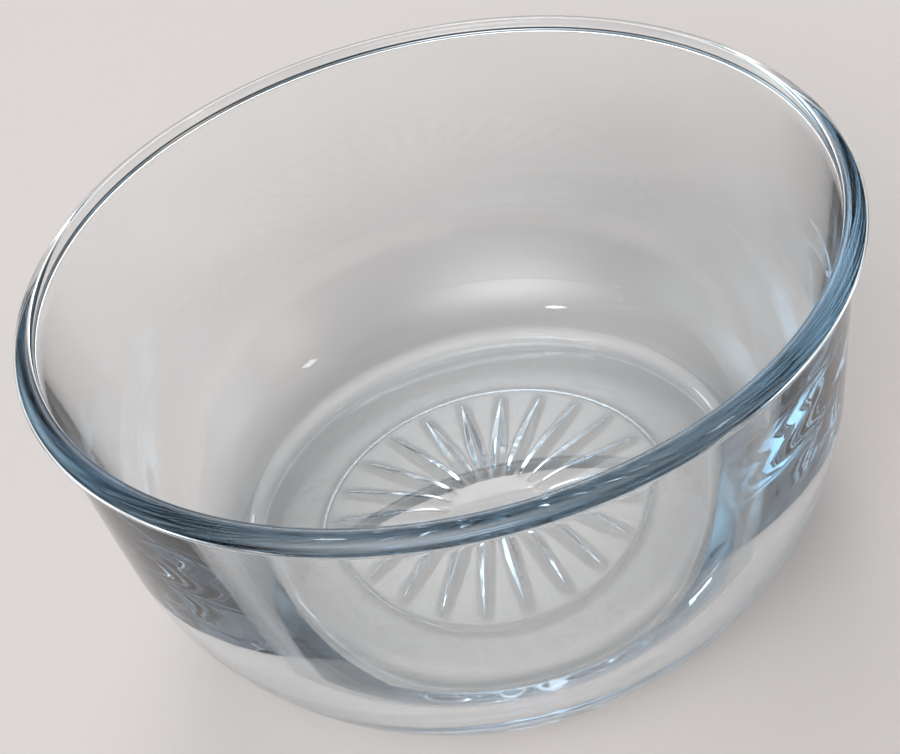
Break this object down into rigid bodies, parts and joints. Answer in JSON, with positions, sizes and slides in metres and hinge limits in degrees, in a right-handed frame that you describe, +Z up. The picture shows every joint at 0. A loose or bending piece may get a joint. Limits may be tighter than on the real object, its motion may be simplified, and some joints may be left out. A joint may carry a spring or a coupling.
{
  "type": "dessert bowl",
  "caption": "Round one-piece dessert bowl of clear pressed glass, with a rolled rim, a tapered wall, a soft heel, a flat foot and a pressed star under the base.",
  "frame": {"origin": "centre of the foot's resting plane, on the bowl's axis", "axes": "+Z up along the bowl's axis, towards the open rim; one ray of the star lies along +X"},
  "size_m": [0.12, 0.12, 0.06],
  "materials": {
    "clear_glass": "fire-polished clear pressed glass with a faint blue-green tint"
  },
  "bodies": {
    "root": {"glass_bowl": "clear_glass"}
  },
  "joints": []
}
